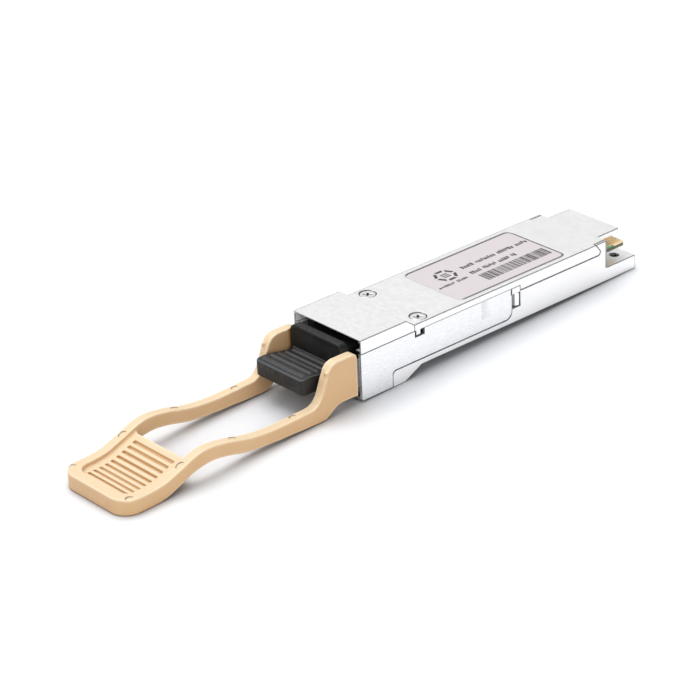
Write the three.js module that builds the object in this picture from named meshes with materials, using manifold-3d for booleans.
// Pluggable optical transceiver with a pull tab, for a four-lane port cage.
// Millimetres, +Z up. +Y runs from the optical port at the front to the card edge at the rear.
// Every piece is drawn in datum coordinates: y = 0 at the front face of the nose, z = 0 on the
// underside of the body, x = 0 on the centre plane. One group then moves the whole assembly so
// that the origin is the bottom centre of its overall box.
import * as THREE from "three";
import { mergeVertices } from "three/addons/utils/BufferGeometryUtils.js";
import Module from "manifold-3d";

const wasm = await Module();
wasm.setup();

// ---------------------------------------------------------------- driving dimensions
const HALF_WIDTH = 9.175;
const BODY_LENGTH = 72.4;
const BODY_HEIGHT = 8.5;
const SEAM = 0.12;
const EPS = 0.5; // how far a cutting solid runs past the face it opens

const NOSE_TOP = 9.99;
const NOSE_BOTTOM = -2.17;
const NOSE_TOP_END = 11.3;
const NOSE_RAMP_END = 13.26;
const NOSE_BOTTOM_END = 10.45;
const NOSE_SLOPE_END = 14.83;
const NOSE_WALL = 0.55;
const MOUTH_RIM = 0.2; // the nose's walls thin to this at the mouth
const MOUTH_LEAD = 0.7; // length of the chamfer that thins them
const NOSE_CAVITY_DEPTH = 11;
const NOSE_CAVITY_HALF = 7.75;
const ATTIC_FLOOR = 7.8;

const WALL_END = 64.3; // rear end of the full-height side walls
const TAIL_HEIGHT = 2.78;
const FLOOR_TOP = 0.9;
const LEDGE_HALF = 6.6; // inner faces below the board's ledges
const CAVITY_HALF_FRONT = 7.5;
const CAVITY_HALF_REAR = 8.3;
const CAVITY_WIDENS = 42;
const CAVITY_START = 15.2;
const LOWER_BAY_END = 62.9;
const FERRULE_WAY_HALF = 5.2;
const FERRULE_WAY_TOP = 7.06;
const TAIL_HOLE = { x: 6.2, y: 69.6, radius: 0.95, bottom: 1.2 };

const COVER_EDGE = 7.184; // lower edge and underside of the cover
const COVER_FRONT = NOSE_RAMP_END + SEAM;
const COVER_WAIST = 61.3; // the cover narrows here
const COVER_WAIST_HALF = 8.55;
const TONGUE_START = 64.4;
const TONGUE_END = 70.4;
const TONGUE_HALF = 6.7;
const TONGUE_UNDERSIDE = 7.5;
const SKIRT_EDGE = 6.2;
const SKIRT_FRONT = 40.66;
const SKIRT_REAR = 62.5;
const SKIRT_INNER = 8.75;

const SCREW_X = 6.87;
const SCREW_Y = 16.28;
const HEAD_RADIUS = 1.56;
const COUNTERBORE_RADIUS = 1.68;
const RECESS_REACH = 0.88; // from the middle of the cross recess to the end of an arm
const RECESS_DEPTH = 0.45;
const HEAD_SEAT = 7.72;
const SHANK_RADIUS = 0.95;

const LABEL_HALF = 7.95;
const LABEL_FRONT = 26.1;
const LABEL_REAR = 54.4;
const LABEL_RECESS = 0.15;
const LABEL_THICKNESS = 0.13;
const LABEL_CORNER = 1.4;

const SLIDER_INNER = 8.42;
const RECESS_FACE = 8.35;
const SLIDER_TOP = 7.14;
const SLIDER_LOWER = 1.15;
const SLIDER_NOSE_END = 7.54;
const SLIDER_END = 38.3;
const TONGUE_LOW = 3.05;
const TONGUE_HIGH = 5.75;
const HOOK_END = 40.35;
const TRAVEL = 1.1; // pull travel that frees the cage latch
const STOP_LUG = { front: 13.72, rear: 14.72, bottom: 6.25 }; // on the cover
const LUG_NOTCH = { front: 13.34, rear: 15.85, bottom: 5.85 }; // in the slider, round the lug
const NECK_OUTER = 8.72;
const NECK_LOW = 0.6;
const NECK_HIGH = 6.4;
const NECK_REACH = 8;

const SPRING_X = 7.65;
const SPRING_Z = 3.8;
const SPRING_FRONT = 20.1;
const SPRING_REAR = 25.4;
const SPRING_RADIUS = 0.53;
const SPRING_WIRE = 0.11;
const SPRING_TURNS = 7;

const TAB_FRONT = -54.95;
const TAB_REAR = -0.95;
const TAB_INNER = 7.25;
const TAB_CORNER = 3.7;
const TAB_GRIP_TOP = -1.28;
const GRIP_REAR = -39.4;
const GRIP_FRONT = -52.7;
const GRIP_HALF = 7.2;
const GRIP_RECESS = 0.8;
const GROOVE_COUNT = 9;
const GROOVE_FIRST = -41.05;
const GROOVE_PITCH = 1.28;
const GROOVE_HALF_LENGTH = 5.6;
const GROOVE_WIDTH = 0.6;
const GROOVE_DEPTH = 0.45;

const PORT_Z = 4.2;
const PORT_HALF_WIDTH = 6.3;
const PORT_HALF_HEIGHT = 3.8;
const RECEPTACLE_FRONT = 2.3;
const RECEPTACLE_STEP = 10.65;
const RECEPTACLE_REAR = 15.1;
const PORT_END = 10.15;
const FERRULE_FACE = 11.5;
const FERRULE_REAR = 19.5;
const PIN_X = 2.3;
const PIN_RADIUS = 0.35;

const PLUG_HALF = 7.05;
const PLUG_FLANGE_FRONT = -2.9;
const PLUG_FLANGE_REAR = -1;
const PLUG_FLANGE_LOW = -0.2;
const PLUG_FLANGE_HIGH = 9.2;
const PLUG_HANDLE_HALF = 6.4;
const PLUG_HANDLE_FRONT = -11.95;
const PLUG_INSERT_END = 5;
const PLUG_RIB_COUNT = 5;
const PLUG_RIB_FIRST = -3.6;
const PLUG_RIB_PITCH = 1.75;

const BOARD_BOTTOM = 5.1;
const BOARD_TOP = 6.1;
const BOARD_FRONT = 24.5;
const CARD_END = 70.5;
const CARD_HALF = 8.2;
const CARD_EDGE_ROUND = 0.3; // chamfer along the card's two long edges

// The module lies on its tail, the underside of its nose and the grip of its tab.
const REST_SLOPE = -NOSE_BOTTOM / (BODY_LENGTH - NOSE_BOTTOM_END);
const restHeight = (y) => -REST_SLOPE * (BODY_LENGTH - y);
const LOWEST = restHeight(TAB_FRONT);

// ---------------------------------------------------------------- materials
const paint = (color, roughness, metalness) =>
  new THREE.MeshStandardMaterial({ color, roughness, metalness });
const platedZinc = () => paint(0xe6e6e6, 0.34, 0.9);
const stainless = () => paint(0xdcdde0, 0.28, 1);
const springSteel = () => paint(0xa9abb0, 0.35, 1);
const beigePlastic = () => paint(0xe2c18e, 0.5, 0);
const blackRubber = () => paint(0x222222, 0.65, 0);
const blackPlastic = () => paint(0x19191a, 0.5, 0);
const conductiveFoam = () => paint(0x3f4143, 0.85, 0.1);
const laminate = () => paint(0x1f7a4d, 0.45, 0);
const chipResin = () => paint(0x202124, 0.55, 0);
const gapPad = () => paint(0x9cc3d8, 0.8, 0);

// ---------------------------------------------------------------- solids and booleans
function solidOf(geometry) {
  const bare = geometry.clone();
  bare.deleteAttribute("normal");
  bare.deleteAttribute("uv");
  const merged = mergeVertices(bare, 1e-5);
  return new wasm.Manifold(
    new wasm.Mesh({
      numProp: 3,
      vertProperties: new Float32Array(merged.attributes.position.array),
      triVerts: new Uint32Array(merged.index.array),
    }),
  );
}

function meshOf(name, solid, material) {
  const data = solid.getMesh();
  const geometry = new THREE.BufferGeometry();
  geometry.setAttribute("position", new THREE.BufferAttribute(new Float32Array(data.vertProperties), 3));
  geometry.setIndex(new THREE.BufferAttribute(new Uint32Array(data.triVerts), 1));
  geometry.computeVertexNormals();
  const mesh = new THREE.Mesh(geometry, material);
  mesh.name = name;
  return mesh;
}

const joined = (...solids) => solids.reduce((sum, solid) => sum.add(solid));
const cutBy = (solid, ...tools) => tools.reduce((rest, tool) => rest.subtract(tool), solid);
const ordered = (a, b) => [Math.min(a, b), Math.max(a, b)];

function boxSolid(xs, ys, zs) {
  const [x0, x1] = ordered(...xs);
  const [y0, y1] = ordered(...ys);
  const [z0, z1] = ordered(...zs);
  const geometry = new THREE.BoxGeometry(x1 - x0, y1 - y0, z1 - z0);
  geometry.translate((x0 + x1) / 2, (y0 + y1) / 2, (z0 + z1) / 2);
  return solidOf(geometry);
}

// Corners are [u, v] or [u, v, radius]; a corner with a radius becomes an arc.
function roundedShape(corners, steps = 5) {
  const points = [];
  corners.forEach(([u, v, radius = 0], i) => {
    const corner = new THREE.Vector2(u, v);
    if (radius === 0) {
      points.push(corner);
      return;
    }
    const before = corners[(i + corners.length - 1) % corners.length];
    const after = corners[(i + 1) % corners.length];
    const back = new THREE.Vector2(before[0], before[1]).sub(corner).normalize();
    const ahead = new THREE.Vector2(after[0], after[1]).sub(corner).normalize();
    const half = Math.acos(THREE.MathUtils.clamp(back.dot(ahead), -1, 1)) / 2;
    const bisector = back.clone().add(ahead).normalize();
    const centre = corner.clone().addScaledVector(bisector, radius / Math.sin(half));
    const start = corner.clone().addScaledVector(back, radius / Math.tan(half)).sub(centre);
    const end = corner.clone().addScaledVector(ahead, radius / Math.tan(half)).sub(centre);
    const turn = Math.atan2(start.cross(end), start.dot(end));
    for (let k = 0; k <= steps; k += 1) {
      const origin = new THREE.Vector2(0, 0);
      points.push(start.clone().rotateAround(origin, (turn * k) / steps).add(centre));
    }
  });
  return new THREE.Shape(points);
}

// The three prisms take outlines drawn as (y, z), (x, y) and (x, z).
function prismAlongX(shape, xs) {
  const [x0, x1] = ordered(...xs);
  const geometry = new THREE.ExtrudeGeometry(shape, { depth: x1 - x0, bevelEnabled: false });
  const axes = [new THREE.Vector3(0, 1, 0), new THREE.Vector3(0, 0, 1), new THREE.Vector3(1, 0, 0)];
  geometry.applyMatrix4(new THREE.Matrix4().makeBasis(...axes));
  geometry.translate(x0, 0, 0);
  return solidOf(geometry);
}

function prismAlongZ(shape, zs) {
  const [z0, z1] = ordered(...zs);
  const geometry = new THREE.ExtrudeGeometry(shape, { depth: z1 - z0, bevelEnabled: false });
  geometry.translate(0, 0, z0);
  return solidOf(geometry);
}

function prismAlongY(shape, ys) {
  const [y0, y1] = ordered(...ys);
  const geometry = new THREE.ExtrudeGeometry(shape, { depth: y1 - y0, bevelEnabled: false });
  const axes = [new THREE.Vector3(1, 0, 0), new THREE.Vector3(0, 0, 1), new THREE.Vector3(0, -1, 0)];
  geometry.applyMatrix4(new THREE.Matrix4().makeBasis(...axes));
  geometry.translate(0, y1, 0);
  return solidOf(geometry);
}

function rodAlongZ(x, y, radius, zs, sides = 24) {
  const [z0, z1] = ordered(...zs);
  const geometry = new THREE.CylinderGeometry(radius, radius, z1 - z0, sides);
  geometry.rotateX(Math.PI / 2);
  geometry.translate(x, y, (z0 + z1) / 2);
  return solidOf(geometry);
}

function rodAlongY(x, z, radius, ys, sides = 12) {
  const [y0, y1] = ordered(...ys);
  const geometry = new THREE.CylinderGeometry(radius, radius, y1 - y0, sides);
  geometry.translate(x, (y0 + y1) / 2, z);
  return solidOf(geometry);
}

const rectangle = (u0, u1, v0, v1, radius = 0) => [
  [u0, v0, radius],
  [u1, v0, radius],
  [u1, v1, radius],
  [u0, v1, radius],
];
const SIDES = [
  ["left", -1],
  ["right", 1],
];

// ---------------------------------------------------------------- housing
function skirtShape(gap) {
  return roundedShape([
    [SKIRT_FRONT - gap, COVER_EDGE + EPS],
    [SKIRT_FRONT - gap, SKIRT_EDGE - gap],
    [SKIRT_REAR + gap, SKIRT_EDGE - gap, 0.7],
    [SKIRT_REAR + gap, SKIRT_EDGE + 0.75],
    [COVER_WAIST + gap, BODY_HEIGHT],
    [COVER_WAIST + gap, BODY_HEIGHT + EPS],
    [COVER_WAIST - 1, BODY_HEIGHT + EPS],
    [COVER_WAIST - 1, COVER_EDGE + EPS],
  ]);
}

function sliderRecess(side) {
  const outline = roundedShape([
    [-EPS, NOSE_BOTTOM - EPS],
    [SLIDER_NOSE_END + SEAM, NOSE_BOTTOM - EPS],
    [SLIDER_NOSE_END + SEAM, SLIDER_LOWER - SEAM, 0.9],
    [SLIDER_END + SEAM, SLIDER_LOWER - SEAM, 1.6],
    [SLIDER_END + SEAM, SLIDER_TOP + SEAM],
    [-EPS, SLIDER_TOP + SEAM],
  ]);
  const flat = prismAlongX(outline, [side * RECESS_FACE, side * (HALF_WIDTH + EPS)]);
  const pocket = boxSolid(
    [side * 7.95, side * (HALF_WIDTH + EPS)],
    [SLIDER_END - TRAVEL - 0.2, HOOK_END + 0.3],
    [TONGUE_LOW - 0.1, TONGUE_HIGH + 0.1],
  );
  return joined(flat, pocket);
}

function springGroove(side) {
  return boxSolid(
    [side * 6.95, side * (HALF_WIDTH + EPS)],
    [SPRING_FRONT - 0.1, SPRING_REAR + 1.2],
    [SPRING_Z - 0.8, SPRING_Z + 0.8],
  );
}

function mouthChamfer() {
  const innerHalf = HALF_WIDTH - NOSE_WALL;
  const ceilingHeight = NOSE_TOP - NOSE_WALL;
  const overlap = 0.05; // the cutters reach this far into the open mouth
  const ceilingCut = roundedShape([
    [-EPS, NOSE_TOP - MOUTH_RIM],
    [0, NOSE_TOP - MOUTH_RIM],
    [MOUTH_LEAD, ceilingHeight - overlap],
    [-EPS, ceilingHeight - overlap],
  ]);
  const cuts = [prismAlongX(ceilingCut, [-innerHalf, innerHalf])];
  for (const [, side] of SIDES) {
    const wallCut = roundedShape([
      [side * (HALF_WIDTH - MOUTH_RIM), -EPS],
      [side * (HALF_WIDTH - MOUTH_RIM), 0],
      [side * (innerHalf - overlap), MOUTH_LEAD],
      [side * (innerHalf - overlap), -EPS],
    ]);
    cuts.push(prismAlongZ(wallCut, [ATTIC_FLOOR, ceilingHeight]));
  }
  return joined(...cuts);
}

function bottomShell() {
  const profile = roundedShape([
    [0, NOSE_BOTTOM],
    [NOSE_BOTTOM_END, NOSE_BOTTOM],
    [NOSE_SLOPE_END, 0],
    [BODY_LENGTH, 0],
    [BODY_LENGTH, TAIL_HEIGHT],
    [WALL_END, TAIL_HEIGHT],
    [WALL_END, BODY_HEIGHT],
    [NOSE_RAMP_END, BODY_HEIGHT],
    [NOSE_TOP_END, NOSE_TOP],
    [0, NOSE_TOP],
  ]);
  const outer = prismAlongX(profile, [-HALF_WIDTH, HALF_WIDTH]);
  const noseLower = boxSolid(
    [-NOSE_CAVITY_HALF, NOSE_CAVITY_HALF],
    [-EPS, NOSE_CAVITY_DEPTH],
    [NOSE_BOTTOM + NOSE_WALL, ATTIC_FLOOR + 0.2],
  );
  const attic = boxSolid(
    [NOSE_WALL - HALF_WIDTH, HALF_WIDTH - NOSE_WALL],
    [-EPS, NOSE_CAVITY_DEPTH],
    [ATTIC_FLOOR, NOSE_TOP - NOSE_WALL],
  );
  const ferruleWay = boxSolid(
    [-FERRULE_WAY_HALF, FERRULE_WAY_HALF],
    [NOSE_CAVITY_DEPTH - EPS, CAVITY_START + EPS],
    [FLOOR_TOP, FERRULE_WAY_TOP],
  );
  const lowerBay = boxSolid(
    [-LEDGE_HALF, LEDGE_HALF],
    [CAVITY_START, LOWER_BAY_END],
    [FLOOR_TOP, BOARD_BOTTOM + EPS],
  );
  const upperBay = boxSolid(
    [-CAVITY_HALF_FRONT, CAVITY_HALF_FRONT],
    [CAVITY_START, CAVITY_WIDENS + EPS],
    [BOARD_BOTTOM, BODY_HEIGHT + EPS],
  );
  const rearBay = boxSolid(
    [-CAVITY_HALF_REAR, CAVITY_HALF_REAR],
    [CAVITY_WIDENS, WALL_END + EPS],
    [BOARD_BOTTOM, BODY_HEIGHT + EPS],
  );
  const coverSeat = boxSolid(
    [-HALF_WIDTH - EPS, HALF_WIDTH + EPS],
    [NOSE_RAMP_END, COVER_WAIST + SEAM],
    [COVER_EDGE, BODY_HEIGHT + EPS],
  );
  const waistSeat = boxSolid(
    [-COVER_WAIST_HALF - 0.06, COVER_WAIST_HALF + 0.06],
    [COVER_WAIST, WALL_END + EPS],
    [COVER_EDGE, BODY_HEIGHT + EPS],
  );
  const mouth = [noseLower, attic, mouthChamfer(), ferruleWay];
  let shell = cutBy(outer, ...mouth, lowerBay, upperBay, rearBay, coverSeat, waistSeat);
  const pedestal = boxSolid([-4.5, 4.5], [33.6, 38], [FLOOR_TOP - 0.2, 4.3]);
  shell = shell.add(pedestal);
  for (const [, side] of SIDES) {
    const boss = rodAlongZ(side * SCREW_X, SCREW_Y, 2.1, [FLOOR_TOP - 0.2, COVER_EDGE]);
    const housing = boxSolid([side * 5.9, side * 8], [19, 27.9], [FLOOR_TOP - 0.2, 5]);
    const thread = rodAlongZ(side * SCREW_X, SCREW_Y, SHANK_RADIUS + 0.05, [2.8, BODY_HEIGHT + EPS]);
    const gasketGroove = boxSolid([side * 7.72, side * 8.16], [19.9, 36.1], [6.8, BODY_HEIGHT]);
    const holeDepth = [TAIL_HOLE.bottom, TAIL_HEIGHT + EPS];
    const tailHole = rodAlongZ(side * TAIL_HOLE.x, TAIL_HOLE.y, TAIL_HOLE.radius, holeDepth, 20);
    const skirtRoom = [side * (SKIRT_INNER - 0.05), side * (HALF_WIDTH + EPS)];
    const skirtSeat = prismAlongX(skirtShape(SEAM), skirtRoom);
    const sideCuts = [thread, gasketGroove, tailHole, skirtSeat, sliderRecess(side), springGroove(side)];
    shell = cutBy(joined(shell, boss, housing), ...sideCuts);
  }
  return meshOf("bottom_shell", shell, platedZinc());
}

function topCover() {
  const plan = roundedShape([
    [-HALF_WIDTH, COVER_FRONT],
    [HALF_WIDTH, COVER_FRONT],
    [HALF_WIDTH, COVER_WAIST],
    [COVER_WAIST_HALF, COVER_WAIST],
    [COVER_WAIST_HALF, TONGUE_START],
    [TONGUE_HALF, TONGUE_START],
    [TONGUE_HALF, TONGUE_END, 0.5],
    [-TONGUE_HALF, TONGUE_END, 0.5],
    [-TONGUE_HALF, TONGUE_START],
    [-COVER_WAIST_HALF, TONGUE_START],
    [-COVER_WAIST_HALF, COVER_WAIST],
    [-HALF_WIDTH, COVER_WAIST],
  ]);
  const plate = prismAlongZ(plan, [COVER_EDGE, BODY_HEIGHT]);
  const tongueRelief = boxSolid(
    [-HALF_WIDTH, HALF_WIDTH],
    [TONGUE_START, TONGUE_END + EPS],
    [COVER_EDGE - EPS, TONGUE_UNDERSIDE],
  );
  const labelPlan = roundedShape(
    rectangle(-LABEL_HALF, LABEL_HALF, LABEL_FRONT, LABEL_REAR, LABEL_CORNER),
  );
  const labelRecess = prismAlongZ(labelPlan, [BODY_HEIGHT - LABEL_RECESS, BODY_HEIGHT + EPS]);
  let cover = cutBy(plate, tongueRelief, labelRecess);
  const lugHeights = [STOP_LUG.bottom, COVER_EDGE + 0.2];
  const lugShape = roundedShape(rectangle(STOP_LUG.front, STOP_LUG.rear, ...lugHeights));
  const aboveTop = boxSolid([-20, 20], [0, 80], [BODY_HEIGHT, BODY_HEIGHT + 2]);
  for (const [, side] of SIDES) {
    const skirt = prismAlongX(skirtShape(0), [side * SKIRT_INNER, side * HALF_WIDTH]);
    const stopLug = prismAlongX(lugShape, [side * SLIDER_INNER, side * HALF_WIDTH]);
    const head = rodAlongZ(side * SCREW_X, SCREW_Y, COUNTERBORE_RADIUS, [HEAD_SEAT, BODY_HEIGHT + EPS]);
    const hole = rodAlongZ(side * SCREW_X, SCREW_Y, SHANK_RADIUS + 0.15, [5, BODY_HEIGHT]);
    cover = cutBy(joined(cover, skirt, stopLug), aboveTop, head, hole);
  }
  return meshOf("top_cover", cover, platedZinc());
}

function coverLabel() {
  const inset = 0.05;
  const half = LABEL_HALF - inset;
  const plan = rectangle(-half, half, LABEL_FRONT + inset, LABEL_REAR - inset, LABEL_CORNER - inset);
  const bottom = BODY_HEIGHT - LABEL_RECESS;
  const sheet = prismAlongZ(roundedShape(plan), [bottom, bottom + LABEL_THICKNESS]);
  return meshOf("label", sheet, paint(0xefe6ea, 0.5, 0));
}

function coverScrew(name, side) {
  const top = BODY_HEIGHT - 0.08;
  const x = side * SCREW_X;
  const head = rodAlongZ(x, SCREW_Y, HEAD_RADIUS, [HEAD_SEAT, top]);
  const shank = rodAlongZ(x, SCREW_Y, SHANK_RADIUS, [3.2, HEAD_SEAT + 0.1]);
  let screw = joined(head, shank);
  for (const turn of [Math.PI / 4, -Math.PI / 4]) {
    const arm = new THREE.BoxGeometry(2 * RECESS_REACH, 0.36, RECESS_DEPTH + EPS);
    arm.rotateZ(turn);
    arm.translate(x, SCREW_Y, top + (EPS - RECESS_DEPTH) / 2);
    screw = screw.subtract(solidOf(arm));
  }
  return meshOf(name, screw, stainless());
}

function coverGasket(name, side) {
  const strip = boxSolid([side * 7.76, side * 8.12], [20, 36], [6.82, COVER_EDGE - 0.02]);
  return meshOf(name, strip, conductiveFoam());
}

// ---------------------------------------------------------------- latch release
function slider(name, side) {
  const outline = roundedShape([
    [0, NOSE_BOTTOM + 0.06, 0.25],
    [SLIDER_NOSE_END, NOSE_BOTTOM + 0.06],
    [SLIDER_NOSE_END, SLIDER_LOWER, 0.9],
    [SLIDER_END, SLIDER_LOWER, 1.6],
    [SLIDER_END, SLIDER_TOP],
    [LUG_NOTCH.rear, SLIDER_TOP],
    [LUG_NOTCH.rear, LUG_NOTCH.bottom],
    [LUG_NOTCH.front, LUG_NOTCH.bottom],
    [LUG_NOTCH.front, SLIDER_TOP],
    [0, SLIDER_TOP],
  ]);
  const plate = prismAlongX(outline, [side * SLIDER_INNER, side * HALF_WIDTH]);
  const hookPlan = new THREE.Shape(
    [
      [9.175, 38.2],
      [8.62, 38.85],
      [8.62, 39.25],
      [9.1, 40.1],
      [9.1, HOOK_END],
      [8.5, HOOK_END],
      [8.5, 40.1],
      [8.05, 39.4],
      [8.05, 38.75],
      [8.42, 38.2],
    ].map(([x, y]) => new THREE.Vector2(side * x, y)),
  );
  const hook = prismAlongZ(hookPlan, [TONGUE_LOW, TONGUE_HIGH]);
  const neckWidth = [side * SLIDER_INNER, side * NECK_OUTER];
  const neck = boxSolid(neckWidth, [-NECK_REACH, 0.4], [NECK_LOW, NECK_HIGH]);
  const lugLength = [SPRING_REAR + 0.05, SPRING_REAR + 0.9];
  const springLug = boxSolid([side * 7.1, side * 8.6], lugLength, [SPRING_Z - 0.65, SPRING_Z + 0.65]);
  return meshOf(name, joined(plate, hook, neck, springLug), stainless());
}

class Helix extends THREE.Curve {
  constructor(x, z) {
    super();
    this.x = x;
    this.z = z;
  }

  getPoint(t, target = new THREE.Vector3()) {
    const angle = t * SPRING_TURNS * 2 * Math.PI;
    const front = SPRING_FRONT + SPRING_WIRE;
    const rear = SPRING_REAR - SPRING_WIRE;
    return target.set(
      this.x + SPRING_RADIUS * Math.cos(angle),
      front + (rear - front) * t,
      this.z + SPRING_RADIUS * Math.sin(angle),
    );
  }
}

function returnSpring(name, side) {
  const section = new THREE.Shape();
  section.absarc(0, 0, SPRING_WIRE, 0, 2 * Math.PI, false);
  const geometry = new THREE.ExtrudeGeometry(section, {
    steps: SPRING_TURNS * 8,
    curveSegments: 3,
    extrudePath: new Helix(side * SPRING_X, SPRING_Z),
  });
  return meshOf(name, solidOf(geometry), springSteel());
}

// Upper and lower edges of the tab seen from the side, rear to front, as (y, z).
const TAB_UPPER = [
  [-11.6, 0.42],
  [-14, 0.3],
  [-20.8, 0.1],
  [-26.6, 0.6],
  [-31, 1.65],
  [-35.3, 2.25],
  [-38.4, 1.9],
  [-42.6, 0.3],
  [-46, -0.9],
  [-49.5, TAB_GRIP_TOP],
];
const TAB_LOWER = [
  [-48, -4.2],
  [-45.6, -3.85],
  [-42.7, -2.7],
  [-39.2, -1.25],
  [-35.5, -0.62],
  [-31.8, -1.0],
  [-26.8, -2.1],
  [-21, -2.5],
  [-15.2, -2.65],
  [-10, -2.78],
];
const PLATE_FRONT = [
  [-5.9, 7.95],
  [-7.35, 7.3],
  [-8.3, 5.5],
  [-9.1, 3.5],
  [-10.1, 1.5],
];
const PLATE_LOWER = [
  [-8.6, -2.6],
  [-7.4, -1.8],
  [-6.2, -1.0],
  [-4.6, -0.6],
];

const smooth = (points, count) => {
  const curve = new THREE.SplineCurve(points.map(([u, v]) => new THREE.Vector2(u, v)));
  return curve.getSpacedPoints(count);
};

function tabUpperAt(samples, y) {
  const after = samples.findIndex((point) => point.x <= y);
  if (after <= 0) return TAB_GRIP_TOP;
  const a = samples[after - 1];
  const b = samples[after];
  return a.y + ((b.y - a.y) * (y - a.x)) / (b.x - a.x);
}

function pullTab() {
  const upper = smooth([...PLATE_FRONT, ...TAB_UPPER], 44);
  const lower = smooth([...TAB_LOWER, ...PLATE_LOWER], 36);
  const outline = new THREE.Shape([
    new THREE.Vector2(TAB_REAR, -0.7),
    new THREE.Vector2(TAB_REAR, 7.1),
    new THREE.Vector2(TAB_REAR - 0.25, 7.7),
    new THREE.Vector2(TAB_REAR - 0.85, 7.95),
    ...upper,
    new THREE.Vector2(TAB_FRONT, TAB_GRIP_TOP),
    new THREE.Vector2(TAB_FRONT, LOWEST),
    ...lower,
  ]);
  const bar = prismAlongX(outline, [-HALF_WIDTH, HALF_WIDTH]);
  const plan = prismAlongZ(
    roundedShape(
      [
        [-HALF_WIDTH, 1],
        [-HALF_WIDTH, TAB_FRONT, TAB_CORNER],
        [HALF_WIDTH, TAB_FRONT, TAB_CORNER],
        [HALF_WIDTH, 1],
      ],
      8,
    ),
    [-6, 12],
  );
  const loop = prismAlongZ(
    roundedShape([
      [-TAB_INNER, GRIP_REAR, 0.8],
      [TAB_INNER, GRIP_REAR, 0.8],
      [TAB_INNER, 1],
      [-TAB_INNER, 1],
    ]),
    [-6, 12],
  );
  const gripSamples = upper.filter((point) => point.x < GRIP_REAR + 3);
  const floorAt = (y) => tabUpperAt(gripSamples, y) - GRIP_RECESS;
  const floorLine = [GRIP_REAR + 1.5];
  for (let y = GRIP_REAR; y > GRIP_FRONT; y -= GROOVE_PITCH) {
    floorLine.push(y);
  }
  floorLine.push(GRIP_FRONT);
  const recessProfile = new THREE.Shape([
    new THREE.Vector2(GRIP_FRONT, 6),
    new THREE.Vector2(floorLine[0], 6),
    ...floorLine.map((y) => new THREE.Vector2(y, floorAt(y))),
  ]);
  const recessPlan = roundedShape([
    [-GRIP_HALF, GRIP_REAR + 1.5],
    [-GRIP_HALF, GRIP_FRONT, 2.6],
    [GRIP_HALF, GRIP_FRONT, 2.6],
    [GRIP_HALF, GRIP_REAR + 1.5],
  ]);
  const recessBar = prismAlongX(recessProfile, [-GRIP_HALF, GRIP_HALF]);
  const recess = recessBar.intersect(prismAlongZ(recessPlan, [-6, 7]));
  let tab = cutBy(bar.intersect(plan), loop, recess);
  for (let i = 0; i < GROOVE_COUNT; i += 1) {
    const y = GROOVE_FIRST - i * GROOVE_PITCH;
    const groove = boxSolid(
      [-GROOVE_HALF_LENGTH, GROOVE_HALF_LENGTH],
      [y - GROOVE_WIDTH / 2, y + GROOVE_WIDTH / 2],
      [floorAt(y) - GROOVE_DEPTH, floorAt(y) + 1],
    );
    tab = tab.subtract(groove);
  }
  for (const [, side] of SIDES) {
    const neckPocket = boxSolid(
      [side * (SLIDER_INNER - 0.05), side * (NECK_OUTER + 0.05)],
      [-NECK_REACH - 0.1, TAB_REAR + EPS],
      [NECK_LOW - 0.1, NECK_HIGH + 0.1],
    );
    tab = tab.subtract(neckPocket);
  }
  return meshOf("pull_tab", tab, beigePlastic());
}

// ---------------------------------------------------------------- optical port
function mpoReceptacle() {
  const gap = 0.1;
  const front = boxSolid(
    [gap - NOSE_CAVITY_HALF, NOSE_CAVITY_HALF - gap],
    [RECEPTACLE_FRONT, RECEPTACLE_STEP],
    [NOSE_BOTTOM + NOSE_WALL + gap, 9],
  );
  const crown = boxSolid(
    [NOSE_WALL + gap - HALF_WIDTH, HALF_WIDTH - NOSE_WALL - gap],
    [RECEPTACLE_FRONT, RECEPTACLE_STEP],
    [ATTIC_FLOOR + gap, NOSE_TOP - NOSE_WALL - gap],
  );
  const rear = boxSolid([-5.1, 5.1], [RECEPTACLE_STEP - EPS, RECEPTACLE_REAR], [FLOOR_TOP + 0.05, 7]);
  const portLow = PORT_Z - PORT_HALF_HEIGHT;
  const portHigh = PORT_Z + PORT_HALF_HEIGHT;
  const portShape = roundedShape(rectangle(-PORT_HALF_WIDTH, PORT_HALF_WIDTH, portLow, portHigh, 0.6));
  const port = prismAlongY(portShape, [0, PORT_END]);
  const keyway = boxSolid([-1.5, 1.5], [0, 9], [PORT_Z, portHigh + 0.65]);
  const ferruleHole = boxSolid([-3.3, 3.3], [PORT_END - EPS, 20], [PORT_Z - 1.35, PORT_Z + 1.35]);
  const body = joined(front, crown, rear);
  return meshOf("mpo_receptacle", cutBy(body, port, keyway, ferruleHole), blackPlastic());
}

function latchHooks() {
  const base = boxSolid([-6.2, 6.2], [PORT_END - 0.6, PORT_END - 0.02], [PORT_Z - 2.2, PORT_Z + 2.2]);
  const window = boxSolid([-3.4, 3.4], [9, 11.2], [PORT_Z - 1.45, PORT_Z + 1.45]);
  let hooks = base.subtract(window);
  for (const [, side] of SIDES) {
    const outline = [
      [6.15, PORT_END - 0.3],
      [5.65, PORT_END - 0.3],
      [5.65, 7],
      [5.05, 6.6],
      [5.05, 6.3],
      [5.8, 5.7],
      [6.15, 5.7],
    ];
    const arm = new THREE.Shape(outline.map(([x, y]) => new THREE.Vector2(side * x, y)));
    hooks = hooks.add(prismAlongZ(arm, [PORT_Z - 1.6, PORT_Z + 1.6]));
  }
  return meshOf("latch_hooks", hooks, blackPlastic());
}

function receptacleGasket() {
  const ring = boxSolid([-7.6, 7.6], [RECEPTACLE_STEP + 0.02, NOSE_CAVITY_DEPTH - 0.02], [-1.5, 7.7]);
  const opening = boxSolid([-6.5, 6.5], [10, 12], [0.2, 7.4]);
  return meshOf("receptacle_gasket", ring.subtract(opening), conductiveFoam());
}

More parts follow.
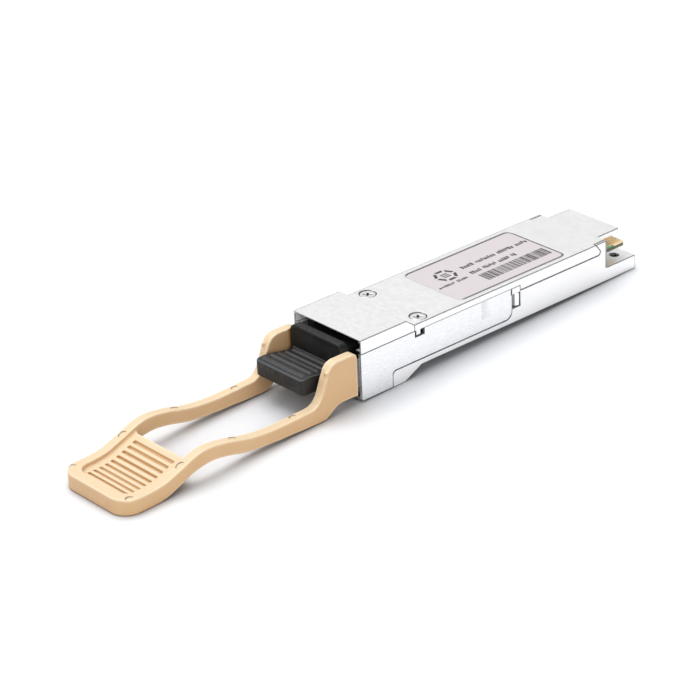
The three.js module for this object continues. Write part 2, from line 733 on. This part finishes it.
function mtFerrule() {
  const nose = boxSolid([-3.2, 3.2], [FERRULE_FACE, FERRULE_REAR], [PORT_Z - 1.25, PORT_Z + 1.25]);
  const flange = boxSolid([-3.7, 3.7], [17.4, FERRULE_REAR], [PORT_Z - 1.6, PORT_Z + 1.6]);
  let ferrule = joined(nose, flange);
  for (const [, side] of SIDES) {
    ferrule = ferrule.subtract(rodAlongY(side * PIN_X, PORT_Z, PIN_RADIUS + 0.03, [9, 21]));
  }
  return meshOf("mt_ferrule", ferrule, paint(0x2b2b2e, 0.45, 0));
}

function guidePin(name, side) {
  const shank = rodAlongY(side * PIN_X, PORT_Z, PIN_RADIUS, [9.7, 21]);
  const tip = rodAlongY(side * PIN_X, PORT_Z, PIN_RADIUS * 0.6, [9.5, 9.8]);
  return meshOf(name, joined(shank, tip), stainless());
}

function pinKeeper() {
  const block = boxSolid([-3.5, 3.5], [19.6, 21.4], [PORT_Z - 1.5, PORT_Z + 1.5]);
  const ribbonWay = boxSolid([-1.75, 1.75], [19, 22], [PORT_Z - 0.35, PORT_Z + 0.35]);
  let keeper = block.subtract(ribbonWay);
  for (const [, side] of SIDES) {
    keeper = keeper.subtract(rodAlongY(side * PIN_X, PORT_Z, PIN_RADIUS + 0.03, [19, 21.1]));
  }
  return meshOf("pin_keeper", keeper, paint(0xd8d4c6, 0.5, 0));
}

function ferruleBoot() {
  const section = roundedShape(rectangle(-2.1, 2.1, PORT_Z - 0.8, PORT_Z + 0.8, 0.5));
  const sleeve = prismAlongY(section, [21.5, 24]);
  const ribbonWay = boxSolid([-1.75, 1.75], [21, 25], [PORT_Z - 0.35, PORT_Z + 0.35]);
  return meshOf("ferrule_boot", sleeve.subtract(ribbonWay), blackRubber());
}

function ferruleClip() {
  const outline = new THREE.Shape(
    [
      [-4.5, FLOOR_TOP],
      [-4.1, FLOOR_TOP],
      [-4.1, 6.1],
      [4.1, 6.1],
      [4.1, FLOOR_TOP],
      [4.5, FLOOR_TOP],
      [4.5, 6.5],
      [-4.5, 6.5],
    ].map(([x, z]) => new THREE.Vector2(x, z)),
  );
  return meshOf("ferrule_clip", prismAlongY(outline, [16.6, 19.4]), stainless());
}

function fiberRibbon() {
  const half = 0.15;
  const route = smooth(
    [
      [19.7, PORT_Z],
      [24.2, PORT_Z],
      [26, 4.0],
      [27.4, 3.7],
    ],
    8,
  );
  const upper = route.map((point) => new THREE.Vector2(point.x, point.y + half));
  const lower = route.map((point) => new THREE.Vector2(point.x, point.y - half)).reverse();
  const ribbon = prismAlongX(new THREE.Shape([...lower, ...upper]), [-1.55, 1.55]);
  return meshOf("fiber_ribbon", ribbon, paint(0x7fd3cf, 0.4, 0));
}

// ---------------------------------------------------------------- board and chips
function lensBlock() {
  const block = boxSolid([-4.2, 4.2], [27.5, 33], [2.9, BOARD_BOTTOM - 0.02]);
  const dieBay = boxSolid([-3.4, 3.4], [29.4, 33.5], [4.4, BOARD_BOTTOM + 0.2]);
  // A triangular notch in the underside turns the light from the ribbon up to the dies.
  const notch = roundedShape([
    [30.2, 2.5],
    [32.2, 2.5],
    [31.2, 3.6],
  ]);
  const mirror = prismAlongX(notch, [-3, 3]);
  return meshOf("lens_block", cutBy(block, dieBay, mirror), paint(0xd9b36a, 0.12, 0));
}

function mainBoard() {
  const narrow = 7.3;
  const outline = roundedShape([
    [-narrow, BOARD_FRONT, 0.5],
    [narrow, BOARD_FRONT, 0.5],
    [narrow, 42.4],
    [CARD_HALF, 43.4],
    [CARD_HALF, CARD_END - 0.5],
    [CARD_HALF - 0.5, CARD_END],
    [0.5 - CARD_HALF, CARD_END],
    [-CARD_HALF, CARD_END - 0.5],
    [-CARD_HALF, 43.4],
    [-narrow, 42.4],
  ]);
  const section = roundedShape(
    rectangle(-CARD_HALF, CARD_HALF, BOARD_BOTTOM, BOARD_TOP, CARD_EDGE_ROUND),
    1,
  );
  const board = prismAlongZ(outline, [BOARD_BOTTOM, BOARD_TOP]);
  const chamfered = board.intersect(prismAlongY(section, [BOARD_FRONT - EPS, CARD_END + EPS]));
  return meshOf("main_board", chamfered, laminate());
}

const chip = (name, x, y, width, length, zs, material = chipResin()) =>
  meshOf(name, boxSolid([x - width / 2, x + width / 2], [y - length / 2, y + length / 2], zs), material);

function boardParts() {
  const dies = [4.95, BOARD_BOTTOM];
  const underside = [4.8, BOARD_BOTTOM];
  const bronze = () => paint(0x6f6a62, 0.5, 0.4);
  return [
    chip("vcsel_array", -1.7, 30.6, 1.3, 0.4, dies, paint(0x54565c, 0.3, 0.6)),
    chip("photodiode_array", 1.7, 30.6, 1.3, 0.4, dies, paint(0x3d4a63, 0.3, 0.6)),
    chip("laser_driver_chip", -2.1, 35.6, 2.6, 2.2, underside),
    chip("receiver_amplifier_chip", 2.1, 35.6, 2.6, 2.2, underside),
    chip("lower_thermal_pad", 0, 35.8, 8.6, 3.6, [4.31, 4.79], gapPad()),
    chip("transmit_retimer_chip", -3, 47, 4.2, 4.2, [BOARD_TOP, 6.85]),
    chip("receive_retimer_chip", 3, 47, 4.2, 4.2, [BOARD_TOP, 6.85]),
    chip("upper_thermal_pad", 0, 47, 10.6, 4.8, [6.86, COVER_EDGE - 0.01], gapPad()),
    chip("microcontroller", 0, 37, 5, 5, [BOARD_TOP, 6.9]),
    chip("power_inductor_left", -4.2, 55.5, 2.5, 2, [BOARD_TOP, 7.05], bronze()),
    chip("power_inductor_middle", 0, 55.5, 2.5, 2, [BOARD_TOP, 7.05], bronze()),
    chip("power_inductor_right", 4.2, 55.5, 2.5, 2, [BOARD_TOP, 7.05], bronze()),
  ];
}

// ---------------------------------------------------------------- dust plug
function dustPlug() {
  const flange = prismAlongY(
    roundedShape(rectangle(-PLUG_HALF, PLUG_HALF, PLUG_FLANGE_LOW, PLUG_FLANGE_HIGH, 1.3)),
    [PLUG_FLANGE_FRONT, PLUG_FLANGE_REAR],
  );
  const insertShape = roundedShape(rectangle(-6, 6, 0.7, 7.7, 0.6));
  const insert = prismAlongY(insertShape, [PLUG_FLANGE_REAR - 0.2, PLUG_INSERT_END]);
  const handleTop = smooth(
    [
      [-2.6, 4.7],
      [-4.3, 4.55],
      [-6.2, 4.85],
      [-8.6, 5.35],
      [-10.3, 5.5],
      [-11.6, 5.35],
    ],
    10,
  );
  const handleShape = new THREE.Shape([
    new THREE.Vector2(-2.6, 1.95),
    ...handleTop,
    new THREE.Vector2(PLUG_HANDLE_FRONT, 5.15),
    new THREE.Vector2(PLUG_HANDLE_FRONT, 2.3),
    new THREE.Vector2(PLUG_HANDLE_FRONT + 0.3, 2.1),
  ]);
  const handlePlan = roundedShape([
    [-PLUG_HANDLE_HALF, PLUG_HANDLE_FRONT, 0.6],
    [PLUG_HANDLE_HALF, PLUG_HANDLE_FRONT, 0.6],
    [PLUG_HANDLE_HALF, 0],
    [-PLUG_HANDLE_HALF, 0],
  ]);
  const handle = prismAlongX(handleShape, [-PLUG_HANDLE_HALF, PLUG_HANDLE_HALF]).intersect(
    prismAlongZ(handlePlan, [0, 8]),
  );
  let plug = joined(flange, insert, handle);
  for (let i = 0; i < PLUG_RIB_COUNT; i += 1) {
    const y = PLUG_RIB_FIRST - PLUG_RIB_PITCH * i;
    const nearer = (best, point) => (Math.abs(point.x - y) < Math.abs(best.x - y) ? point : best);
    const height = handleTop.reduce(nearer).y;
    plug = plug.add(boxSolid([-5.4, 5.4], [y - 0.26, y + 0.26], [height - 1, height + 0.34]));
  }
  return meshOf("dust_plug", plug, blackRubber());
}

// ---------------------------------------------------------------- assembly
const datum = new THREE.Group();
datum.position.set(0, -(BODY_LENGTH + TAB_FRONT) / 2, -LOWEST);
datum.add(bottomShell(), topCover(), coverLabel());
datum.add(mpoReceptacle(), latchHooks(), receptacleGasket());
datum.add(mtFerrule(), pinKeeper(), ferruleBoot(), ferruleClip(), fiberRibbon());
datum.add(lensBlock(), mainBoard(), ...boardParts());
datum.add(pullTab(), dustPlug());
for (const [word, side] of SIDES) {
  datum.add(coverScrew(`cover_screw_${word}`, side));
  datum.add(coverGasket(`cover_gasket_${word}`, side));
  datum.add(guidePin(`guide_pin_${word}`, side));
  datum.add(slider(`slider_${word}`, side));
  datum.add(returnSpring(`return_spring_${word}`, side));
}

const transceiver = new THREE.Group();
transceiver.add(datum);

export default transceiver;
